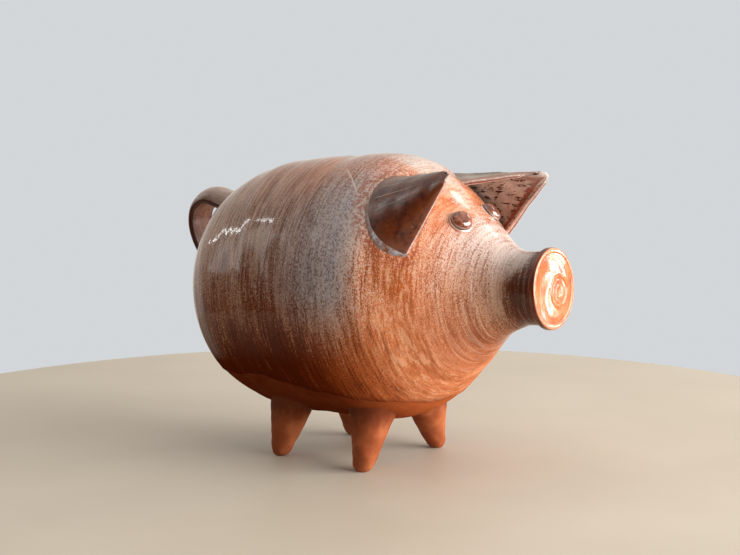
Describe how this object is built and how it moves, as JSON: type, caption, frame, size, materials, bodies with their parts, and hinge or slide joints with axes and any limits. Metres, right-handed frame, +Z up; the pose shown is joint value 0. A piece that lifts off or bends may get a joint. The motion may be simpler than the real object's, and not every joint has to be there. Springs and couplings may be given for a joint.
{
  "type": "piggy bank",
  "caption": "Hand-thrown stoneware pig coin bank: hollow barrel body, tapered head with disc snout, rolled ears, pellet eyes, looped tail, cone legs and a belly stopper.",
  "frame": {"origin": "on the floor, at the centre of the whole pig's length and width", "axes": "+X towards the snout, +Y to the pig's left, +Z up"},
  "size_m": [0.3286, 0.19, 0.2215],
  "materials": {
    "rust_glaze": "glossy iron-bearing glaze, rust orange to brown with thin bluish-white streaks round the throwing axis",
    "dark_glaze": "glossy dark brown glaze breaking to rust on the edges",
    "pale_glaze": "glossy pooled pale blue-white glaze",
    "bare_clay": "matte unglazed terracotta-coloured stoneware",
    "cork": "natural cork"
  },
  "bodies": {
    "bank": {"barrel_shell": "rust_glaze", "head_shell": "rust_glaze", "snout_disc": "rust_glaze", "right_ear": "dark_glaze", "left_ear": "dark_glaze", "right_ear_coil": "pale_glaze", "left_ear_coil": "pale_glaze", "right_eye": "dark_glaze", "left_eye": "dark_glaze", "tail": "rust_glaze", "front_right_leg": "bare_clay", "front_left_leg": "bare_clay", "rear_right_leg": "bare_clay", "rear_left_leg": "bare_clay"},
    "stopper": {"belly_stopper": "cork"}
  },
  "joints": [
    {"name": "stopper_pull", "type": "slide", "parent": "bank", "child": "stopper", "axis": [0.0586, 0, -0.9983], "range_m": [0, 0.026]}
  ]
}
